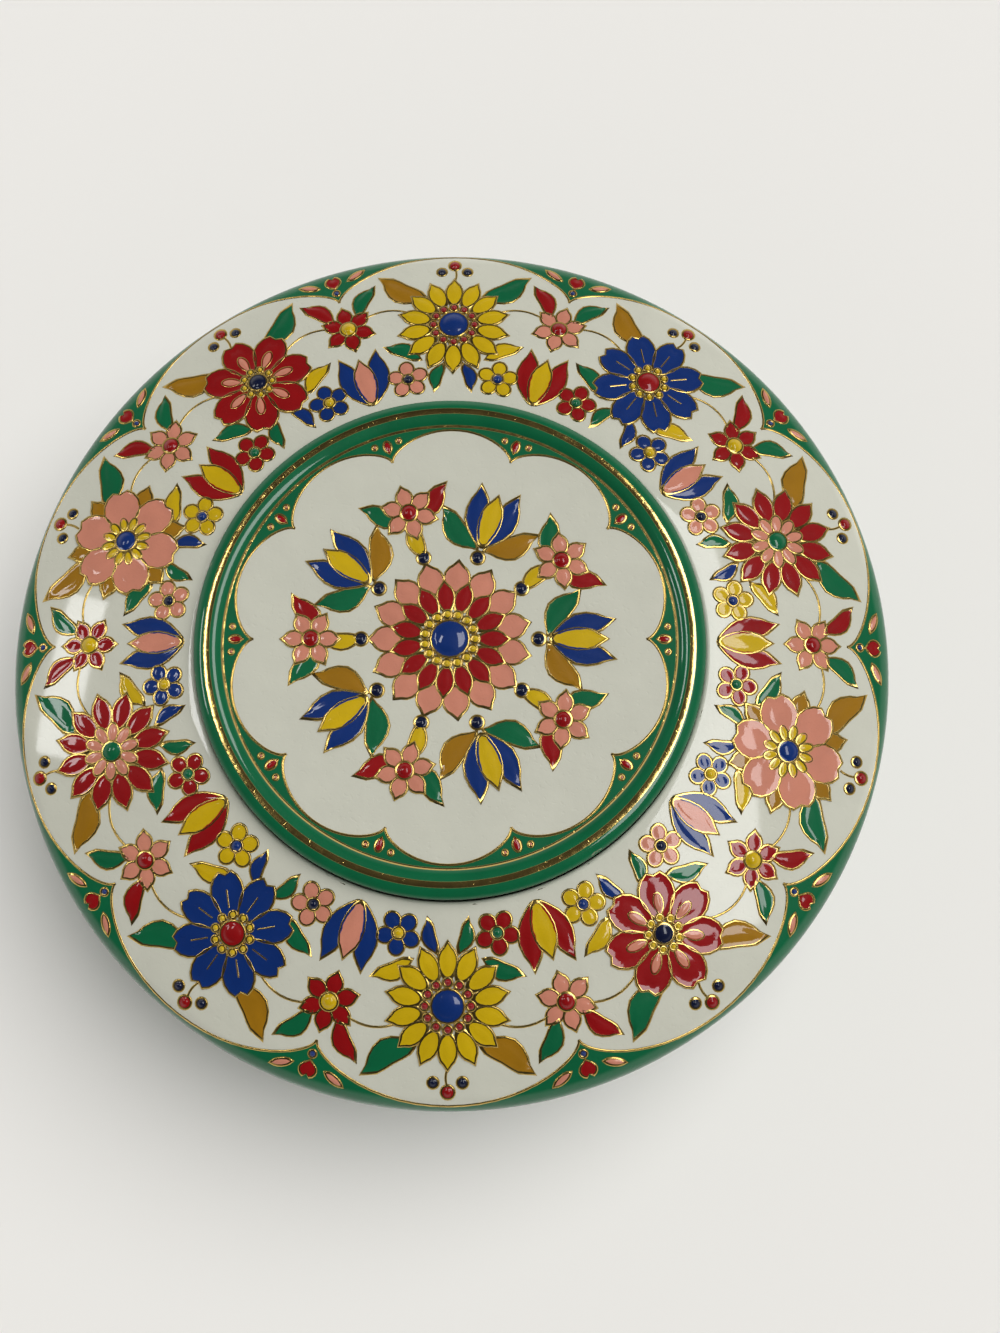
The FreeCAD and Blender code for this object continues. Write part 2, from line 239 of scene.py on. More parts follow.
def turn_shell(name, outline):
    """Spin an outline round the axis and give it the sheet's thickness inwards."""
    piece = draw_line(name, [(across, 0, up) for across, up in outline])
    bpy.ops.mesh.spin(steps=ROUND_STEPS, angle=math.tau, center=(0, 0, 0), axis=(0, 0, 1))
    bpy.ops.mesh.select_all(action="SELECT")
    bpy.ops.mesh.remove_doubles(threshold=MERGE)
    bpy.ops.mesh.normals_make_consistent(inside=False)
    bpy.ops.object.mode_set(mode="OBJECT")
    bpy.ops.object.material_slot_add()
    bpy.ops.object.material_slot_add()
    wall = piece.modifiers.new("sheet", "SOLIDIFY")
    wall.thickness = SHEET
    wall.offset = -1
    wall.use_even_offset = True
    wall.material_offset = 1
    wall.material_offset_rim = 1
    bpy.ops.object.modifier_apply(modifier=wall.name)
    bpy.ops.object.shade_smooth_by_angle(angle=SMOOTH_ANGLE)
    size = [round(length / MM, 2) for length in piece.dimensions]
    print(name, len(piece.data.polygons), "faces", size, "mm")
    return piece


lid_sheet = turn_shell("lid_sheet", lid_outline)
shoulder_sheet = turn_shell("shoulder_sheet", shoulder_outline)
bowl_sheet = turn_shell("bowl_sheet", bowl_outline)

# %% [markdown]
# ## Shader sums as Python
# A finish is a small sum on the place of a point: how far it is from the axis, which way it
# lies, how grainy it is there. Nodes could be wired one by one, but the sum would be hard to
# read. So one class wraps a socket and turns each operator into a Math node, and its method
# add makes any other node.

# %% Socket class


class Wire:
    """A socket of a node tree that + - * and > can work on."""

    def __init__(self, tree, socket=None):
        self.tree = tree
        self.socket = socket

    def add(self, kind, settings, inputs, output=0):
        """A new node: its settings first, then the values or links of its sockets."""
        node = self.tree.nodes.new(kind)
        for name, setting in settings.items():
            setattr(node, name, setting)
        for name, value in inputs.items():
            if isinstance(value, Wire):
                self.tree.links.new(value.socket, node.inputs[name])
            else:
                node.inputs[name].default_value = value
        return Wire(self.tree, node.outputs[output])

    def math(self, operation, *values):
        """A Math node on one or two values."""
        return self.add("ShaderNodeMath", {"operation": operation}, dict(enumerate(values)))

    def __add__(self, other):
        return self.math("ADD", self, other)

    def __sub__(self, other):
        return self.math("SUBTRACT", self, other)

    def __rsub__(self, other):
        return self.math("SUBTRACT", other, self)

    def __mul__(self, other):
        return self.math("MULTIPLY", self, other)

    def __gt__(self, other):
        return self.math("GREATER_THAN", self, other)

    __radd__ = __add__
    __rmul__ = __mul__

    def ramp(self, low, high):
        """0 below low, 1 above high and an even rise between."""
        inputs = {"Value": self, "From Min": low, "From Max": high}
        return self.add("ShaderNodeMapRange", {"clamp": True}, inputs)

    def noise(self, size, detail=2.0):
        """A grain from 0 to 1 at a place, whose lumps are about as large as size."""
        inputs = {"Vector": self, "Scale": 1 / size, "Detail": detail}
        return self.add("ShaderNodeTexNoise", {}, inputs)

    def between(self, first, second):
        """The first colour where this is 0 and the second where it is 1."""
        settings = {"data_type": "RGBA"}
        return self.add("ShaderNodeMix", settings, {0: self, 6: first, 7: second}, output=2)


print("operators", [name for name in vars(Wire) if name.startswith("__") and name != "__init__"])

# %% [markdown]
# ## Materials and colours
# A printer mixes each ink once and uses it all over the tin, so the colours are named once.
# They are written as screen values, but a shader works in linear light, so they go through
# the sRGB curve first.

# %% Colours


def colour(red, green, blue):
    """A linear colour from its 0 to 255 screen values, by the sRGB curve."""
    shares = [value / 255 for value in (red, green, blue)]
    linear = [s / 12.92 if s <= 0.04045 else ((s + 0.055) / 1.055) ** 2.4 for s in shares]
    return (*linear, 1)


def scaled(shade, factor):
    """A lighter or darker tone of a colour."""
    return (*[min(1, channel * factor) for channel in shade[:3]], 1)


def new_finish(name):
    """A material, its main shader and a wire that carries the place of a point."""
    finish = bpy.data.materials.new(name)
    finish.use_nodes = True
    shader = finish.node_tree.nodes["Principled BSDF"]
    place = Wire(finish.node_tree).add("ShaderNodeTexCoord", {}, {}, "Object")
    return finish, shader, place


def feed(shader, name, wire):
    """Link a wire to an input of a shader."""
    wire.tree.links.new(wire.socket, shader.inputs[name])


OFF_WHITE = colour(196, 196, 182)
GREEN = colour(6, 92, 56)
RED = colour(134, 8, 12)
PINK = colour(194, 126, 104)
BLUE = colour(9, 42, 104)
YELLOW = colour(192, 160, 10)
OCHRE = colour(146, 103, 14)
NAVY = colour(8, 17, 46)
GOLD = colour(206, 176, 100)
TINPLATE = colour(196, 186, 160)
print("off-white in linear light", [round(channel, 3) for channel in OFF_WHITE[:3]])

# %% [markdown]
# ## The varnished print
# Every printed colour lies under one clear stoving varnish, which is what makes the tin shine.
# So each finish is the same: a print with a faint cloudiness and a fine grain, a smooth coat,
# a slight waviness of the sheet that bends the reflections, and small pits where dust fell into
# the wet varnish. Only the colour differs.

# %% Varnish and enamels
PRINT_GLOSS = 0.1
COAT = 0.8
COAT_ROUGHNESS = 0.05
PRINT_ROUGHNESS = 0.3
ROUGHNESS_RANGE = 0.2
SHEET_WAVE = 0.25 * MM
RIPPLE = 0.12
PIT_DEPTH = 0.07
SPECK_TONE = 0.6


def print_roughness(place):
    """How rough the ink is, a little different from place to place."""
    return PRINT_ROUGHNESS + ROUGHNESS_RANGE * place.noise(3 * MM, detail=4.0)


def varnish(shader, place):
    """A clear coat on a sheet that is a little wavy and pitted."""
    shader.inputs["Specular IOR Level"].default_value = PRINT_GLOSS
    shader.inputs["Coat Weight"].default_value = COAT
    shader.inputs["Coat Roughness"].default_value = COAT_ROUGHNESS
    pits = place.noise(1 * MM, detail=0.0).ramp(0.7, 0.78)
    level = place.noise(9 * MM) + RIPPLE * place.noise(1.1 * MM) - PIT_DEPTH * pits
    inputs = {"Height": level, "Distance": SHEET_WAVE}
    feed(shader, "Normal", place.add("ShaderNodeBump", {}, inputs))


def printed(place, shade, cloud=0.1, speckle=0.24):
    """A colour with a soft cloudiness and fine dark specks."""
    clouds = place.noise(9 * MM, detail=3.0).ramp(0.3, 0.7)
    tone = clouds.between(scaled(shade, 1 - cloud), scaled(shade, 1 + cloud / 2))
    specks = place.noise(0.25 * MM, detail=1.0).ramp(0.62, 0.72)
    return (specks * speckle).between(tone, scaled(shade, SPECK_TONE))


def enamel(name, shade):
    """A finish of one printed colour."""
    finish, shader, place = new_finish(name)
    feed(shader, "Base Color", printed(place, shade))
    feed(shader, "Roughness", print_roughness(place))
    varnish(shader, place)
    print("enamel", finish.name)
    return finish


red_enamel = enamel("red_enamel", RED)
pink_enamel = enamel("pink_enamel", PINK)
blue_enamel = enamel("blue_enamel", BLUE)
yellow_enamel = enamel("yellow_enamel", YELLOW)
ochre_enamel = enamel("ochre_enamel", OCHRE)
green_enamel = enamel("green_enamel", GREEN)
navy_enamel = enamel("navy_enamel", NAVY)

# %% [markdown]
# ## Gold lines and bare tinplate
# The gold is bare bright metal under a yellow lacquer. It goes brown where the lacquer is
# thick, so two tones are mixed in soft patches. The inner side of the sheet has a paler
# lacquer, with the long grain of rolled metal, which is a noise stretched along one way.

# %% Metals
GOLD_ROUGHNESS = 0.16
PATCH_ROUGHNESS = 0.12
PATCH_TONE = 0.65
ROLLED_ROUGHNESS = 0.25
GRAIN_ROUGHNESS = 0.2
GRAIN_TONE = 0.8
GRAIN_STRETCH = (1, 0.04, 1)


def gold_lacquer():
    """Bright metal under yellow lacquer, browner in patches."""
    finish, shader, place = new_finish("gold_lacquer")
    patches = place.noise(5 * MM, detail=3.0).ramp(0.35, 0.7)
    feed(shader, "Base Color", patches.between(GOLD, scaled(GOLD, PATCH_TONE)))
    feed(shader, "Roughness", GOLD_ROUGHNESS + PATCH_ROUGHNESS * patches)
    shader.inputs["Metallic"].default_value = 1
    return finish


def lacquered_tinplate():
    """Rolled sheet with a pale lacquer, for the inner side."""
    finish, shader, place = new_finish("lacquered_tinplate")
    stretch = {"Vector": place, "Scale": GRAIN_STRETCH}
    grain = place.add("ShaderNodeMapping", {}, stretch).noise(0.4 * MM, detail=3.0)
    feed(shader, "Base Color", grain.between(scaled(TINPLATE, GRAIN_TONE), TINPLATE))
    feed(shader, "Roughness", ROLLED_ROUGHNESS + GRAIN_ROUGHNESS * grain)
    shader.inputs["Metallic"].default_value = 1
    return finish


gold_line = gold_lacquer()
inner_lacquer = lacquered_tinplate()
print("metals", gold_line.name, inner_lacquer.name)

# %% [markdown]
# ## Fields of colour
# The large fields of colour are flat print, so they are masks in the shells' materials and
# not pieces of their own. Off-white meets green along a chain of arches. One formula in the
# angle gives the arches here and, later, the raised gold line that runs along them.

# %% Arches and bands
ARCHES = 10
ARCH_POWER = 0.6
SOFT = 0.05 * MM


def axis_distance(place):
    """How far a point is from the axis, and in which direction it lies."""
    x, y = (place.add("ShaderNodeSeparateXYZ", {}, {0: place}, name) for name in "XY")
    return place.math("SQRT", x * x + y * y), place.math("ARCTAN2", y, x)


def height_of(place):
    """How high a place lies, or how far a direction points up."""
    return place.add("ShaderNodeSeparateXYZ", {}, {0: place}, "Z")


def beyond_arches(distance, angle, cusp, top):
    """1 outside a chain of arches that runs round the axis."""
    wave = angle.math("ABSOLUTE", angle.math("SINE", angle * (ARCHES / 2)))
    wave = wave.math("POWER", wave, ARCH_POWER)
    return (distance - (cusp + (top - cusp) * wave)).ramp(-SOFT, SOFT)


def band(distance, middle, half_width):
    """1 within half_width of one distance."""
    offset = distance.math("ABSOLUTE", distance - middle)
    return 1 - offset.ramp(half_width - SOFT, half_width + SOFT)


print("arches", ARCHES, "of", 360 / ARCHES, "degrees each")

# %% [markdown]
# ## Wear along the edges
# Handling has rubbed the print off in short streaks along the outermost edges. A plain noise
# would look like spatter, so the noise is fed with the angle round the tin, squeezed so that
# its lumps come out long. Bare metal and gold shine more than ink, so both lower the roughness.

# %% Wear
STREAK = 9
STREAK_WIDTH = 0.8 * MM
SHINE_SMOOTHS = 0.6


def scuffs(place):
    """Short streaks that run round the tin."""
    distance, angle = axis_distance(place)
    inputs = {"X": angle * (TIN_RADIUS / STREAK), "Y": distance, "Z": height_of(place)}
    streaks = place.add("ShaderNodeCombineXYZ", {}, inputs).noise(STREAK_WIDTH, detail=3.0)
    return streaks.ramp(0.68, 0.71)


def rub(shader, place, ground, edge, gilt=None):
    """Set the print, with bare tinplate where an edge has lost it."""
    bare = edge * scuffs(place)
    shine = bare if gilt is None else gilt.math("MAXIMUM", gilt, bare)
    feed(shader, "Base Color", bare.between(ground, TINPLATE))
    feed(shader, "Metallic", shine)
    feed(shader, "Roughness", print_roughness(place) * (1 - SHINE_SMOOTHS * shine))


print("streaks are about", round(STREAK * STREAK_WIDTH / MM, 1), "mm long at the rim")

# %% [markdown]
# ## The printed grounds
# The shoulder is off-white inside its arches and green outside them. So is the lid, which also
# has a gold band on its bead and a fine gold line at the bead's foot. The bowl is green with
# one thin gold line. They are rubbed at the rim, the mouth's edge, the lid's corner and the
# foot.

# %% Printed grounds
BORDER_CUSP = 102.5 * MM
BORDER_TOP = 113.2 * MM
MEDALLION_CUSP = 49.5 * MM
MEDALLION_TOP = 56.2 * MM
CREST_BAND = 0.75 * MM
FOOT_LINE = 0.3 * MM
BOWL_LINE = 43 * MM
RIM_WEAR = 0.4 * MM
FOOT_WEAR = (0.1 * MM, 0.7 * MM)


def pale_and_green(place, distance, angle, cusp, top):
    """Off-white inside a chain of arches and green outside it."""
    border = beyond_arches(distance, angle, cusp, top)
    pale = printed(place, OFF_WHITE, cloud=0.03, speckle=0.08)
    return border.between(pale, printed(place, GREEN))


def shoulder_print():
    finish, shader, place = new_finish("shoulder_ground")
    distance, angle = axis_distance(place)
    ground = pale_and_green(place, distance, angle, BORDER_CUSP, BORDER_TOP)
    rim = distance.ramp(TIN_RADIUS - RIM_WEAR, TIN_RADIUS)
    mouth = band(distance, MOUTH_RADIUS + MOUTH_BEND / 2, MOUTH_BEND / 2)
    varnish(shader, place)
    rub(shader, place, ground, rim + mouth)
    return finish


def lid_print():
    finish, shader, place = new_finish("lid_ground")
    distance, angle = axis_distance(place)
    ground = pale_and_green(place, distance, angle, MEDALLION_CUSP, MEDALLION_TOP)
    gilt = band(distance, BEAD_RADIUS, CREST_BAND) + band(distance, BEAD_FOOT, FOOT_LINE)
    above_skirt = height_of(place) > corner_centre[1]
    corner = distance.ramp(LID_RADIUS - LID_CORNER, LID_RADIUS) * above_skirt
    varnish(shader, place)
    rub(shader, place, gilt.between(ground, GOLD), corner, gilt)
    return finish


def bowl_print():
    finish, shader, place = new_finish("bowl_ground")
    height = height_of(place)
    gilt = band(height, BOWL_LINE, CREST_BAND / 2)
    foot = 1 - height.ramp(*FOOT_WEAR)
    varnish(shader, place)
    rub(shader, place, gilt.between(printed(place, GREEN), GOLD), foot, gilt)
    return finish


lid_ground = lid_print()
shoulder_ground = shoulder_print()
bowl_ground = bowl_print()
for finish in (lid_ground, shoulder_ground, bowl_ground):
    print(finish.name, len(finish.node_tree.nodes), "nodes")

# %% [markdown]
# ## Dressing the shells
# Each turned shell takes its print outside and the pale lacquer inside. It then rides on the
# body that it belongs to and stands in for the plain CAD node, which is hidden.

# %% Dress the shells


def settle(piece, body):
    """Tie a finished piece to its body."""
    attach(piece, body)


def dress_shell(piece, node, body, outer_finish):
    """Finish a shell, which then stands for its CAD node."""
    piece.material_slots[0].material = outer_finish
    piece.material_slots[1].material = inner_lacquer
    settle(piece, body)
    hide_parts(node)
    print(piece.name, [layer.name for layer in piece.data.materials])


dress_shell(lid_sheet, "lid", "lid", lid_ground)
dress_shell(shoulder_sheet, "shoulder", "tin", shoulder_ground)
dress_shell(bowl_sheet, "bowl", "tin", bowl_ground)

# %% [markdown]
# ## One cell of the print
# Each petal, leaf and berry is a cell: a thin raised line of gold round a pool of enamel. It
# could be a bump in the ground's material, but then no light would catch the edge of a line.
# So a circle is pulled into the outline, with Blender's proportional editing for its soft bends.
# Tip and heel pull its ends out, or in where they are below 0.

# %% Draw a cell
FOOT_SINK = 0.25 * MM
CELL_POINTS = 16
AT_END = 0.01
NEAR = 0.1
SOFT_REACH = 0.6


def pick(piece, wanted):
    """Select the points whose place passes a test."""
    bpy.ops.mesh.select_all(action="DESELECT")
    mesh = bmesh.from_edit_mesh(piece.data)
    for vertex in mesh.verts:
        vertex.select_set(wanted(vertex.co))
    bmesh.update_edit_mesh(piece.data)


def draw_cell(name, length, width, tip=0.0, heel=0.0, waist=1.0, bend=0.0):
    """A flat outline from the origin along +X."""
    piece = start(name, bpy.ops.mesh.primitive_circle_add,
                  vertices=CELL_POINTS, radius=length / 2, fill_type="NGON")
    soft = dict(use_proportional_edit=True, proportional_edit_falloff="SMOOTH",
                proportional_size=length * SOFT_REACH)
    bpy.ops.transform.resize(value=(1, width / length, 1))
    bpy.ops.transform.translate(value=(length / 2, 0, -FOOT_SINK))
    pick(piece, lambda place: place.x < length * NEAR)
    bpy.ops.transform.resize(value=(1, waist, 1), **soft)
    pick(piece, lambda place: abs(place.x - length / 2) < length * NEAR)
    bpy.ops.transform.translate(value=(0, bend, 0), **soft)
    pick(piece, lambda place: place.x > length * (1 - AT_END))
    bpy.ops.transform.translate(value=(tip, 0, 0))
    pick(piece, lambda place: place.x < length * AT_END)
    bpy.ops.transform.translate(value=(-heel, 0, 0))
    return piece


print("a cell starts as", CELL_POINTS, "points,", FOOT_SINK / MM, "mm inside the metal")

# %% [markdown]
# ## Embossing a cell
# The flat outline is raised out of the ground, and then extruded and drawn in: up to the ridge
# of the gold line, down to the pool, and up over the pool's swell. Inset would do the same at
# one blow, but it folds over at the sharp tip of a narrow leaf.

# %% Emboss a cell
LINE = 0.64 * MM
LINE_RISE = 0.2 * MM
POOL_SINK = 0.1 * MM
SWELL = 0.16 * MM
CELL_ANGLE = math.radians(60)
POINTED_REACH = 1.7
PETAL_POOL = 0.5
DOT_POOL = 0.85


def step_in(piece, rise, inwards, reach):
    """Extrude the selected face and draw its outline in, reach times as far at its ends."""
    mesh = bmesh.from_edit_mesh(piece.data)
    places = np.array([vertex.co for vertex in mesh.verts if vertex.select])
    low, high = places.min(axis=0), places.max(axis=0)
    across, along = high[1] - low[1], high[0] - low[0]
    bpy.ops.mesh.extrude_region_move(TRANSFORM_OT_translate={"value": (0, 0, rise)})
    scale = (1 - 2 * inwards * reach / along, 1 - 2 * inwards / across, 1)
    bpy.ops.transform.resize(value=scale, center_override=(low + high) / 2)


def emboss(piece, enamel_finish, pool, swell=SWELL, rings=1, reach=1.0):
    """Raise a flat outline into a gold line round a swelling pool of enamel."""
    piece.data.materials.append(gold_line)
    piece.data.materials.append(enamel_finish)
    bpy.ops.mesh.select_mode(type="FACE")
    bpy.ops.mesh.select_all(action="SELECT")
    bpy.ops.mesh.extrude_region_move(TRANSFORM_OT_translate={"value": (0, 0, FOOT_SINK)})
    step_in(piece, LINE_RISE, LINE / 2, reach)
    step_in(piece, -POOL_SINK, LINE / 2, reach)
    for left in range(rings, 0, -1):
        step_in(piece, swell * (2 * left - 1) / rings ** 2, pool / rings, 1.0)
    for _ in range(rings):
        bpy.ops.mesh.select_more()
    piece.active_material_index = 1
    bpy.ops.object.material_slot_assign()
    bpy.ops.mesh.select_all(action="SELECT")
    bpy.ops.mesh.normals_make_consistent(inside=False)
    bpy.ops.object.mode_set(mode="OBJECT")
    bpy.ops.object.shade_smooth_by_angle(angle=CELL_ANGLE)
    return piece


def petal(enamel_finish, length, width, **shape):
    """A petal from the origin along +X. One with a drawn-out tip keeps its line even there."""
    cell = draw_cell("petal", length, width, **shape)
    reach = POINTED_REACH if shape.get("tip", 0) > 0 else 1
    return emboss(cell, enamel_finish, (width / 2 - LINE) * PETAL_POOL, reach=reach)


def dot(enamel_finish, radius, swell, rings):
    """A round domed cell about the origin."""
    cell = draw_cell("dot", 2 * radius, 2 * radius)
    bpy.ops.mesh.select_all(action="SELECT")
    bpy.ops.transform.translate(value=(-radius, 0, 0))
    return emboss(cell, enamel_finish, (radius - LINE) * DOT_POOL, swell, rings)


print("a gold line is", LINE / MM, "mm wide")

# %% [markdown]
# ## Moving and copying
# Such a border repeats a few motifs round the tin. So each is modelled once at the origin,
# moved to its distance and angle from the axis, and copied by Spin in its duplicate mode. An
# Array modifier could copy it too, but would need an empty for each motif.

# %% Select, move and repeat
UNIT = 360 / ARCHES
UNIT_MIDDLE = UNIT / 2


def choose(*pieces):
    """Select pieces, with the first one active."""
    bpy.ops.object.select_all(action="DESELECT")
    for piece in pieces:
        piece.select_set(True)
    bpy.context.view_layer.objects.active = pieces[0]


def move(piece, distance=0.0, angle=0.0, turn=0.0, lift=0.0):
    """Turn a piece about the origin, then place it at a distance and angle from the axis."""
    choose(piece)
    way = math.radians(angle)
    piece.rotation_euler.z = way + math.radians(turn)
    piece.location = (distance * math.cos(way), distance * math.sin(way), lift)
    bpy.ops.object.transform_apply(location=True, rotation=True, scale=True)
    return piece


def repeat(piece, count):
    """Copy a piece round the axis, count times in all."""
    choose(piece)
    bpy.ops.object.mode_set(mode="EDIT")
    bpy.ops.mesh.select_all(action="SELECT")
    bpy.ops.mesh.spin(steps=count - 1, dupli=True, angle=math.tau * (count - 1) / count,
                      center=(0, 0, 0), axis=(0, 0, 1))
    bpy.ops.object.mode_set(mode="OBJECT")
    return piece


def gather(name, *pieces):
    """Join pieces into one."""
    choose(*pieces)
    bpy.ops.object.join()
    pieces[0].name = name
    pieces[0].data.name = name
    return pieces[0]


print("the border repeats every", UNIT, "degrees")

# %% [markdown]
# ## Following the metal
# The print is flat when the sheet is printed, and takes the slope when the sheet is pressed.
# The drawing does the same: each point is raised by the height of the metal under it. A
# Shrinkwrap modifier would press the relief flat, so the height is read from the outline.

# %% Lay on the metal
crown_line = np.array(top_line)


def raise_points(piece, height):
    """Lift each point by the height of the metal at its distance from the axis."""
    points = np.empty(len(piece.data.vertices) * 3, np.float32)
    piece.data.vertices.foreach_get("co", points)
    points = points.reshape(-1, 3)
    points[:, 2] += height(np.hypot(points[:, 0], points[:, 1]))
    piece.data.vertices.foreach_set("co", points.ravel())
    piece.data.update()


def lay_on_shoulder(name, *pieces):
    """Join pieces into one that follows the crown."""
    piece = gather(f"shoulder_{name}", *pieces)
    raise_points(piece, lambda distance: np.interp(distance, *crown_line.T))
    settle(piece, "tin")
    print(piece.name, len(piece.data.polygons), "faces")


def lay_on_lid(name, *pieces):
    """Join pieces into one that lies on the panel."""
    piece = gather(f"lid_{name}", *pieces)
    raise_points(piece, lambda distance: np.full_like(distance, PANEL))
    settle(piece, "lid")
    print(piece.name, len(piece.data.polygons), "faces")


heights = crown_line[:, 1] / MM
print("the crown lies", round(heights.min(), 2), "to", round(heights.max(), 2), "mm high")

# %% [markdown]
# ## Rings, gold lines and beads
# A blossom is rings of petals, rows of beads and a domed button, and gold lines tie it to its
# neighbours. A gold line is drawn as a curve with a round bevel, because a bevel keeps its width
# round every bend. It is then made a mesh and pressed flat.

# %% Rings, lines and beads
FLATTEN = 0.55
BUTTON_RINGS = 3
BEAD_RINGS = 2
BEAD_SWELL = 0.3


def ring(enamel_finish, count, inner, length, lift=0.0, turn=0.0, widest=0.55, **shape):
    """Petals side by side in a ring. Neighbours share the ridge of one gold line."""
    pitch = 2 * (inner + length * widest) * math.sin(math.pi / count)
    one = petal(enamel_finish, length, pitch + LINE, **shape)
    return repeat(move(one, inner, turn, lift=lift), count)


def gold_stroke(places):
    """A gold line through places."""
    draw_line("gold_stroke", places)
    bpy.ops.object.mode_set(mode="OBJECT")
    bpy.ops.object.convert(target="CURVE")
    curve = bpy.context.object.data
    curve.bevel_depth = LINE / 2
    curve.bevel_resolution = 1
    curve.use_fill_caps = True
    bpy.ops.object.convert(target="MESH")
    line = bpy.context.object
    line.data.materials.append(gold_line)
    bpy.ops.object.mode_set(mode="EDIT")
    bpy.ops.mesh.select_all(action="SELECT")
    bpy.ops.transform.resize(value=(1, 1, FLATTEN), center_override=(0, 0, 0))
    bpy.ops.mesh.normals_make_consistent(inside=False)
    bpy.ops.object.mode_set(mode="OBJECT")
    bpy.ops.object.shade_smooth_by_angle(angle=CELL_ANGLE)
    return line


def button(enamel_finish, radius, swell, lift):
    """A domed button."""
    return move(dot(enamel_finish, radius, swell, BUTTON_RINGS), lift=lift)


def beads(enamel_finish, count, distance, radius, lift=0.0, turn=0.0):
    """Small domed beads in a ring."""
    one = dot(enamel_finish, radius, radius * BEAD_SWELL, BEAD_RINGS)
    return repeat(move(one, distance, turn, lift=lift), count)


print("a gold line stands", round(LINE / 2 * FLATTEN / MM, 2), "mm above the metal")

# %% [markdown]
# ## The large blossoms of the border
# Five traditional blossoms alternate round the shoulder. Each is built from rings of petals:
# the outer ring lies on the ground, the next one on its heels, and a domed button closes the
# middle. Every layer is one small step up, so that no two faces lie in one plane.

# %% Large blossoms
STEP_UP = 0.12 * MM
TUCK = 0.22 * MM
BLOSSOM_PLACE = 89.5 * MM


def star_daisy():
    """Pointed red petals, a ring of pink ones and a green button."""
    outer = ring(red_enamel, count=12, inner=5 * MM, length=9.6 * MM, tip=1.2 * MM, waist=0.8)
    inner = ring(pink_enamel, count=10, inner=1.8 * MM, length=5.8 * MM, lift=STEP_UP, waist=0.8)
    middle = button(green_enamel, radius=3 * MM, swell=0.65 * MM, lift=2 * STEP_UP)
    return gather("star_daisy", outer, inner, middle)


def cornflower():
    """Notched blue petals, each with a gold streak, round yellow beads and a red button."""
    petals = 8
    outer = ring(blue_enamel, petals, inner=3.4 * MM, length=12.4 * MM, widest=0.6,
                 tip=-1.4 * MM, waist=0.75)
    streak = gold_stroke([(6.2 * MM, 0, 0), (10.6 * MM, 0, 0)])
    streaks = repeat(move(streak, lift=STEP_UP), petals)
    inner = beads(yellow_enamel, count=10, distance=4.5 * MM, radius=1.3 * MM, lift=STEP_UP)
    middle = button(red_enamel, radius=3.5 * MM, swell=0.7 * MM, lift=2 * STEP_UP)
    return gather("cornflower", outer, streaks, inner, middle)


def sunflower():
    """Narrow yellow rays, a ring of red beads and a blue button."""
    outer = ring(yellow_enamel, count=14, inner=5.8 * MM, length=8.8 * MM, tip=1.2 * MM, waist=0.85)
    inner = beads(red_enamel, count=12, distance=5.6 * MM, radius=1.45 * MM, lift=STEP_UP)
    middle = button(blue_enamel, radius=4.4 * MM, swell=0.75 * MM, lift=2 * STEP_UP)
    return gather("sunflower", outer, inner, middle)


def peony():
    """Broad red petals, pink drops on them and a navy button in yellow beads."""
    petals = 7
    outer = ring(red_enamel, petals, inner=2.8 * MM, length=12.8 * MM, widest=0.62,
                 tip=-1.2 * MM, waist=0.7)
    drop = petal(pink_enamel, length=6.2 * MM, width=3.4 * MM, waist=0.7)
    drops = repeat(move(drop, distance=4.2 * MM, lift=STEP_UP), petals)
    inner = beads(yellow_enamel, count=9, distance=3.9 * MM, radius=1.25 * MM, lift=2 * STEP_UP)
    middle = button(navy_enamel, radius=2.9 * MM, swell=0.6 * MM, lift=3 * STEP_UP)
    return gather("peony", outer, drops, inner, middle)


def wild_rose():
    """Six broad pink petals over ochre sepals, with a blue button in yellow stamens."""
    petals = 6
    sepal = petal(ochre_enamel, length=7.4 * MM, width=5.6 * MM, tip=1.2 * MM)
    sepals = repeat(move(sepal, distance=8 * MM, angle=180 / petals), petals)
    outer = ring(pink_enamel, petals, inner=2.8 * MM, length=12.4 * MM, lift=STEP_UP, widest=0.6,
                 tip=-1.2 * MM, waist=0.7)
    stamens = ring(yellow_enamel, count=12, inner=2.6 * MM, length=4.4 * MM, lift=2 * STEP_UP,
                   widest=0.35)
    middle = button(blue_enamel, radius=3.2 * MM, swell=0.65 * MM, lift=3 * STEP_UP)
    return gather("wild_rose", sepals, outer, stamens, middle)


makers = (star_daisy, cornflower, sunflower, peony, wild_rose)
for number, make in enumerate(makers):
    blossom = move(make(), BLOSSOM_PLACE, (number + 0.5) * UNIT, lift=TUCK)
    lay_on_shoulder(make.__name__, repeat(blossom, ARCHES // len(makers)))

# %% [markdown]
# ## Tulips and small flowers
# Between the large blossoms, below each cusp of the border, stands a tulip with a star above
# it, and a pair of forget-me-nots fills the room inside each large blossom. Two colourings of
# each take turns, so each is made twice.

# %% Tulips and small flowers
TULIP_LENGTH = 16 * MM
TULIP_WIDTH = 0.42
TULIP_SPREAD = 17
STAR = dict(count=6, radius=8 * MM, tip=0.9 * MM)
FORGET_ME_NOT = dict(count=5, radius=5.8 * MM, tip=0)
STAR_HEEL = 0.1
STAR_BUTTON = 0.32
STAR_SWELL = 0.1
PAIR_PLACE = 73.2 * MM
PAIR_ANGLE = 9.4


def tulip(side_finish, middle_finish, length):
    """Two curved side petals behind a pointed middle one."""
    width = length * TULIP_WIDTH
    sides = []
    for side in (1, -1):
        one = petal(side_finish, length, width, tip=length * 0.12, waist=0.75,
                    bend=side * length * 0.08)
        sides.append(move(one, turn=side * TULIP_SPREAD))
    middle = petal(middle_finish, length * 0.86, width, tip=length * 0.1, waist=0.8)
    return gather("tulip", *sides, move(middle, lift=STEP_UP))


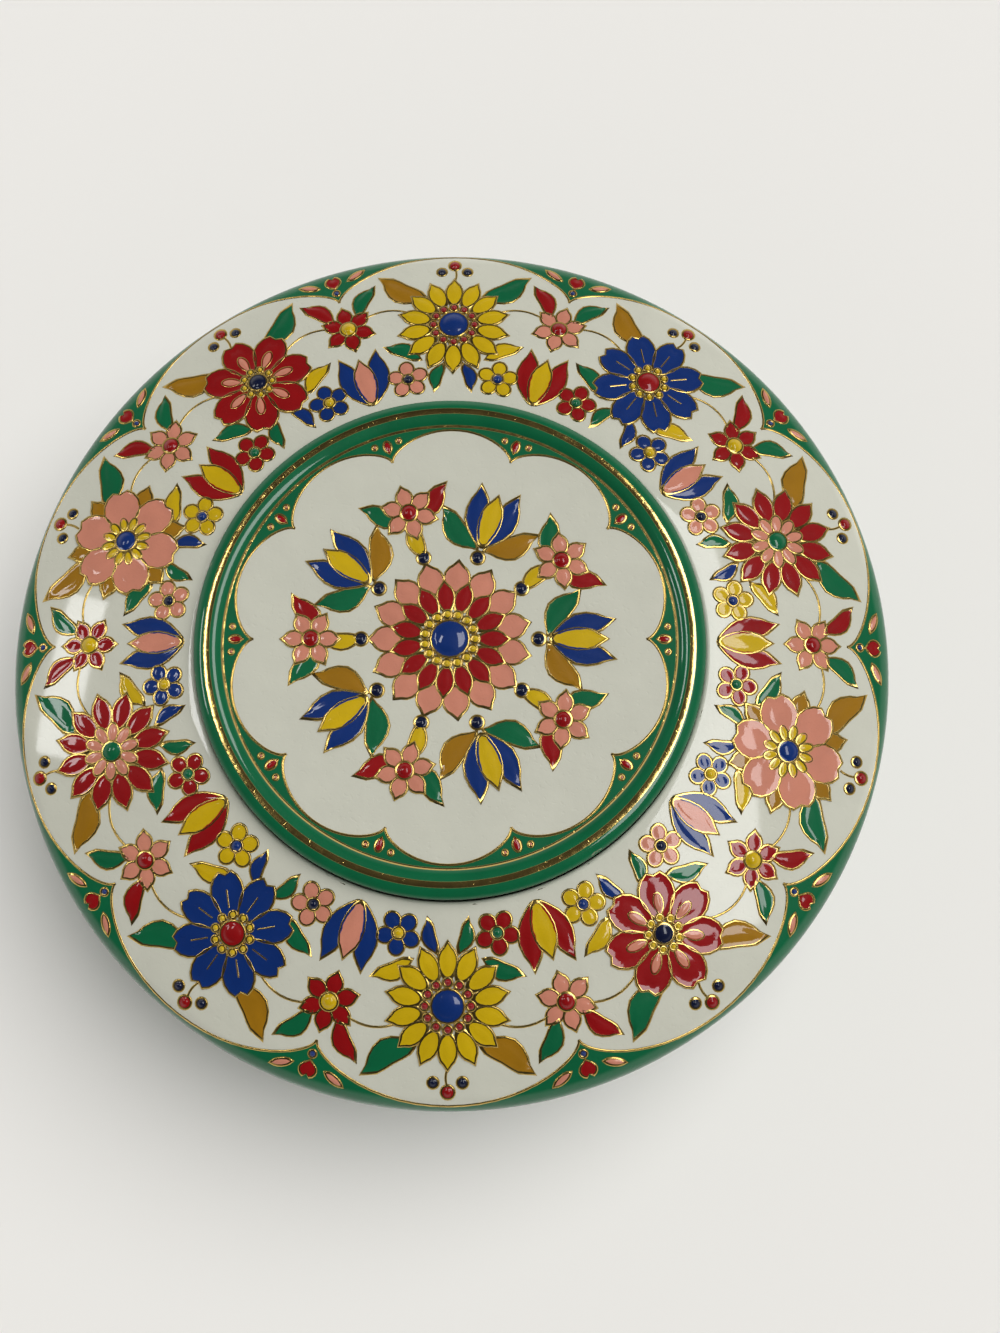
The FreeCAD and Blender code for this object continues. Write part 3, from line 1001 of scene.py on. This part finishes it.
def star_flower(petal_finish, middle_finish, count, radius, tip):
    """One ring of petals round a button."""
    outer = ring(petal_finish, count, radius * STAR_HEEL, radius * (1 - STAR_HEEL) - tip,
                 tip=tip, waist=0.8)
    middle = button(middle_finish, radius * STAR_BUTTON, radius * STAR_SWELL, 2 * STEP_UP)
    return gather("star_flower", outer, middle)


def take_turns(motifs, distance, angle):
    """Motifs that alternate from unit to unit, at the same place in each unit."""
    count = ARCHES // len(motifs)
    return [repeat(move(motif, distance, angle + number * UNIT), count)
            for number, motif in enumerate(motifs)]


tulips = [tulip(red_enamel, yellow_enamel, TULIP_LENGTH),
          tulip(blue_enamel, pink_enamel, TULIP_LENGTH)]
lay_on_shoulder("tulips", *take_turns(tulips, distance=67.6 * MM, angle=0))
stars = [star_flower(pink_enamel, red_enamel, **STAR),
         star_flower(red_enamel, yellow_enamel, **STAR)]
lay_on_shoulder("stars", *take_turns(stars, distance=93 * MM, angle=0))
left_small = [star_flower(yellow_enamel, blue_enamel, **FORGET_ME_NOT),
              star_flower(blue_enamel, yellow_enamel, **FORGET_ME_NOT)]
right_small = [star_flower(pink_enamel, navy_enamel, **FORGET_ME_NOT),
               star_flower(red_enamel, green_enamel, **FORGET_ME_NOT)]
lay_on_shoulder("forget_me_nots", *take_turns(left_small, PAIR_PLACE, UNIT_MIDDLE - PAIR_ANGLE),
                *take_turns(right_small, PAIR_PLACE, UNIT_MIDDLE + PAIR_ANGLE))

# %% [markdown]
# ## Leaves and berries
# A leaf is a cell with both ends drawn out and its middle pushed to one side. Leaves spring
# from under the blossoms in pairs that mirror each other, so one function makes both. Three
# berries hang outside each large blossom.

# %% Leaves and berries
LEAF_BODY = 0.8
LEAF_WIDTH = 0.41
LEAF_TIP = 0.12
LEAF_HEEL = 0.08
LEAF_BEND = 0.1
BERRY_ANGLE = 1.9


def leaf(finish, length, bend=1.0):
    """A pointed leaf from the origin along +X."""
    ends = dict(tip=length * LEAF_TIP, heel=length * LEAF_HEEL)
    curve = bend * length * LEAF_BEND
    return petal(finish, length * LEAF_BODY, length * LEAF_WIDTH, bend=curve, **ends)


def leaf_pair(left_finish, right_finish, length, distance, angle, turn, bend):
    """Two leaves that mirror each other about the middle of a unit, in every unit."""
    left = move(leaf(left_finish, length, -bend), distance, UNIT_MIDDLE - angle, -turn)
    right = move(leaf(right_finish, length, bend), distance, UNIT_MIDDLE + angle, turn)
    return [repeat(left, ARCHES), repeat(right, ARCHES)]


lay_on_shoulder(
    "leaves",
    *leaf_pair(green_enamel, ochre_enamel, length=17 * MM, distance=98.6 * MM,
               angle=4.6, turn=56, bend=1),
    *leaf_pair(red_enamel, green_enamel, length=12.5 * MM, distance=96.5 * MM,
               angle=UNIT_MIDDLE - 2, turn=-40, bend=1),
    *leaf_pair(yellow_enamel, green_enamel, length=12 * MM, distance=79 * MM,
               angle=6.5, turn=62, bend=-1),
    *leaf_pair(blue_enamel, green_enamel, length=10 * MM, distance=77 * MM,
               angle=2, turn=163, bend=-1),
)
navy_berry = dict(distance=107.6 * MM, radius=1.7 * MM)
lay_on_shoulder(
    "berries",
    beads(red_enamel, ARCHES, distance=109.8 * MM, radius=2 * MM, turn=UNIT_MIDDLE),
    beads(navy_enamel, ARCHES, **navy_berry, turn=UNIT_MIDDLE - BERRY_ANGLE),
    beads(navy_enamel, ARCHES, **navy_berry, turn=UNIT_MIDDLE + BERRY_ANGLE),
)

# %% [markdown]
# ## The arches' corners
# Every green corner of the border holds a heart between two wings, with a bead at its point.
# The heart is a broad petal whose far end is pushed in, so it needs no outline of its own.

# %% Corners
WING_ANGLE = 2.1
WING_TURN = 66


def wing(side):
    """A slim leaf beside the heart, in every corner."""
    one = petal(pink_enamel, length=5.8 * MM, width=2.5 * MM, tip=0.6 * MM, heel=0.4 * MM)
    return repeat(move(one, 109.2 * MM, side * WING_ANGLE, side * WING_TURN), ARCHES)


heart = petal(red_enamel, length=4.6 * MM, width=5 * MM, tip=-1 * MM, heel=0.5 * MM, waist=0.8)
lay_on_shoulder(
    "corner_hearts",
    repeat(move(heart, distance=107.6 * MM), ARCHES),
    wing(1),
    wing(-1),
    beads(blue_enamel, ARCHES, distance=106 * MM, radius=1.3 * MM),
)

# %% [markdown]
# ## Gold lines
# One raised line follows the arches of each ground, by the same formula as the mask, so the
# two can't drift apart. Its points crowd together at the cusps, where the curve is tightest.
# Short curved stems tie the small flowers to the large ones.

# %% Lines
ARCH_POINTS = 28
STEM_POINTS = 9
STEM_SAG = 0.14
BERRY_STEM_SAG = 0.1


def polar(distance, angle):
    """A place on the ground from its distance and its angle in radians."""
    return (distance * math.cos(angle), distance * math.sin(angle), 0)


def arch_line(cusp, top):
    """A gold line along a chain of arches."""
    half_turns = (1 - np.cos(np.linspace(0, math.pi, ARCH_POINTS + 1))) / 2
    angles = half_turns * math.tau / ARCHES
    rise = np.abs(np.sin(angles * ARCHES / 2)) ** ARCH_POWER
    places = [polar(cusp + (top - cusp) * r, a) for r, a in zip(rise, angles)]
    return repeat(gold_stroke(places), ARCHES)


def stem(first, last, sag):
    """A curved stem between two places, each a distance and an angle in degrees."""
    ends = [Vector(polar(distance, math.radians(angle))) for distance, angle in (first, last)]
    across = (ends[1] - ends[0]).cross(Vector((0, 0, 1))) * sag
    shares = np.linspace(0, 1, STEM_POINTS)
    places = [ends[0].lerp(ends[1], s) + across * (4 * s * (1 - s)) for s in shares]
    return repeat(gold_stroke(places), ARCHES)


lay_on_shoulder("arch_line", arch_line(BORDER_CUSP, BORDER_TOP))
lay_on_lid("arch_line", arch_line(MEDALLION_CUSP, MEDALLION_TOP))
lay_on_shoulder(
    "stems",
    stem((94 * MM, UNIT_MIDDLE - 7), (95 * MM, 3), -STEM_SAG),
    stem((94 * MM, UNIT_MIDDLE + 7), (95 * MM, UNIT - 3), STEM_SAG),
    stem((104 * MM, UNIT_MIDDLE), (109 * MM, UNIT_MIDDLE), BERRY_STEM_SAG),
)

# %% [markdown]
# ## The lid's bouquet
# The medallion holds one large dahlia with a wreath of tulips and stars round it. There are
# five of each, half as many as the arches, so the wreath lines up with every second arch.

# %% Lid bouquet
WREATH = ARCHES // 2
WREATH_GAP = 180 / WREATH
DAHLIA_PETALS = 15

lay_on_lid(
    "dahlia",
    ring(pink_enamel, DAHLIA_PETALS, inner=11.4 * MM, length=8.6 * MM, tip=1.2 * MM, waist=0.85,
         turn=180 / DAHLIA_PETALS),
    ring(red_enamel, DAHLIA_PETALS, inner=6.4 * MM, length=8.4 * MM, lift=STEP_UP,
         tip=1 * MM, waist=0.8),
    beads(yellow_enamel, DAHLIA_PETALS, distance=6.4 * MM, radius=1.45 * MM, lift=2 * STEP_UP),
    button(blue_enamel, radius=5.2 * MM, swell=0.75 * MM, lift=3 * STEP_UP),
    beads(navy_enamel, ARCHES, distance=22.4 * MM, radius=2.1 * MM),
)
lid_tulips = tulip(blue_enamel, yellow_enamel, TULIP_LENGTH)
lid_tulips = repeat(move(lid_tulips, distance=25 * MM, lift=TUCK), WREATH)
lid_stars = star_flower(pink_enamel, red_enamel, **STAR)
lid_stars = repeat(move(lid_stars, distance=35 * MM, angle=WREATH_GAP, lift=TUCK), WREATH)
lay_on_lid("wreath_flowers", lid_tulips, lid_stars)

# %% [markdown]
# ## The wreath's leaves and the lid's corners
# Two leaves flank each tulip and each star, and a short one points out from the dahlia to the
# star. The green corners of the medallion are narrow, so each holds only a drop and two beads.

# %% Lid leaves and corners
CORNER_BEAD = dict(distance=55 * MM, radius=1 * MM)
CORNER_BEAD_ANGLE = 3.4


def lid_leaf(finish, length, distance, angle, turn, bend):
    """A leaf at the same place in every unit of the wreath."""
    return repeat(move(leaf(finish, length, bend), distance, angle, turn), WREATH)


tulip_leaf = dict(length=16 * MM, distance=25 * MM)
star_leaf = dict(length=15 * MM, distance=34 * MM, angle=WREATH_GAP)
lay_on_lid(
    "wreath_leaves",
    lid_leaf(green_enamel, **tulip_leaf, angle=3, turn=52, bend=1),
    lid_leaf(ochre_enamel, **tulip_leaf, angle=-3, turn=-52, bend=-1),
    lid_leaf(red_enamel, **star_leaf, turn=-62, bend=-1),
    lid_leaf(green_enamel, **star_leaf, turn=62, bend=1),
    lid_leaf(yellow_enamel, length=12 * MM, distance=22.6 * MM, angle=WREATH_GAP, turn=0, bend=0.6),
)
lid_drop = petal(red_enamel, length=3.8 * MM, width=2.7 * MM, heel=0.6 * MM)
lay_on_lid(
    "corner_drops",
    repeat(move(lid_drop, distance=52.2 * MM), ARCHES),
    beads(pink_enamel, ARCHES, **CORNER_BEAD, turn=CORNER_BEAD_ANGLE),
    beads(pink_enamel, ARCHES, **CORNER_BEAD, turn=-CORNER_BEAD_ANGLE),
)

# %% [markdown]
# ## Floor and sky
# The floor is pale and plain, and the sky meets it in its own colour, so no horizon shows. A
# glossy print shows whatever hangs above it, so the sky is dark overhead and the inks stay deep.

# %% Floor and sky
FLOOR_SIZE = 30.0
FLOOR_COLOUR = colour(238, 236, 232)
FLOOR_ROUGHNESS = 0.8
SKY_OVERHEAD = 0.05
SKY_FADE = (0.3, 0.6)

bpy.ops.object.select_all(action="DESELECT")
bpy.ops.mesh.primitive_plane_add(size=FLOOR_SIZE)
floor = bpy.context.object
floor.name = "floor"
floor_finish, floor_shader = new_finish("floor_paint")[:2]
floor_shader.inputs["Base Color"].default_value = FLOOR_COLOUR
floor_shader.inputs["Roughness"].default_value = FLOOR_ROUGHNESS
floor.data.materials.append(floor_finish)

sky = bpy.data.worlds.new("studio_sky")
sky.use_nodes = True
background = sky.node_tree.nodes["Background"]
background.inputs["Color"].default_value = FLOOR_COLOUR
view = Wire(sky.node_tree).add("ShaderNodeTexCoord", {}, {}, "Generated")
overhead = height_of(view).ramp(*SKY_FADE)
feed(background, "Strength", 1 - (1 - SKY_OVERHEAD) * overhead)
bpy.context.scene.world = sky
print("floor", FLOOR_SIZE, "m wide under", sky.name)

# %% [markdown]
# ## Lamps
# The light itself is a very soft sun that stays out of reflections. Three softboxes are there
# for the gloss alone: a long one high at the right shows in the varnish beside the lid, one
# high at the left lights the gold of the lid's bead, and a low one at the left glints along
# the edge. Lamps that did both jobs would change the brightness with every reflection.

# %% Lamps
SUN_STRENGTH = 2.8
SUN_ANGLE = math.radians(60)
AIM = Vector((0, 0, 50 * MM))


def add_lamp(name, kind, azimuth, elevation, distance=0.0):
    """A lamp that looks at the tin. Azimuth 0 is at the right and 90 at the far side."""
    way, up = math.radians(azimuth), math.radians(elevation)
    direction = Vector((math.cos(up) * math.cos(way), math.cos(up) * math.sin(way), math.sin(up)))
    turn = direction.to_track_quat("Z", "Y").to_euler()
    bpy.ops.object.light_add(type=kind, location=AIM + direction * distance, rotation=turn)
    bpy.context.object.name = name
    return bpy.context.object


def softbox(name, azimuth, elevation, distance, width, height, power):
    """A lit panel that only shows as a reflection."""
    lamp = add_lamp(name, "AREA", azimuth, elevation, distance)
    lamp.data.shape = "RECTANGLE"
    lamp.data.size = width
    lamp.data.size_y = height
    lamp.data.energy = power
    lamp.visible_diffuse = False
    print(name, "radiance", round(power / math.pi / width / height, 2))


softbox("right_gloss", azimuth=10, elevation=67, distance=3, width=2.4, height=0.7, power=35)
softbox("bead_gloss", azimuth=151, elevation=66, distance=3, width=0.8, height=0.28, power=7)
softbox("left_glint", azimuth=167, elevation=45, distance=3.9, width=1.1, height=0.35, power=11)
sun = add_lamp("even_sun", "SUN", azimuth=30, elevation=60)
sun.data.energy = SUN_STRENGTH
sun.data.angle = SUN_ANGLE
sun.visible_glossy = False

# %% [markdown]
# ## Camera
# The camera looks down from the near side, about 30 cm above the tin, as one looks at a thing
# on a table. It stands close, so its near clip is short.

# %% Camera
CAMERA_PLACE = (12.6 * MM, -70.6 * MM, 362.4 * MM)
CAMERA_TILT = math.radians(12.2)
CAMERA_LENS = 32.41
CAMERA_NEAR = 10 * MM

bpy.ops.object.camera_add(location=CAMERA_PLACE, rotation=(CAMERA_TILT, 0, 0))
camera = bpy.context.object
camera.data.lens = CAMERA_LENS
camera.data.clip_start = CAMERA_NEAR
bpy.context.scene.camera = camera
bpy.context.scene.view_settings.view_transform = "Standard"
print("camera", [round(v, 4) for v in camera.location])
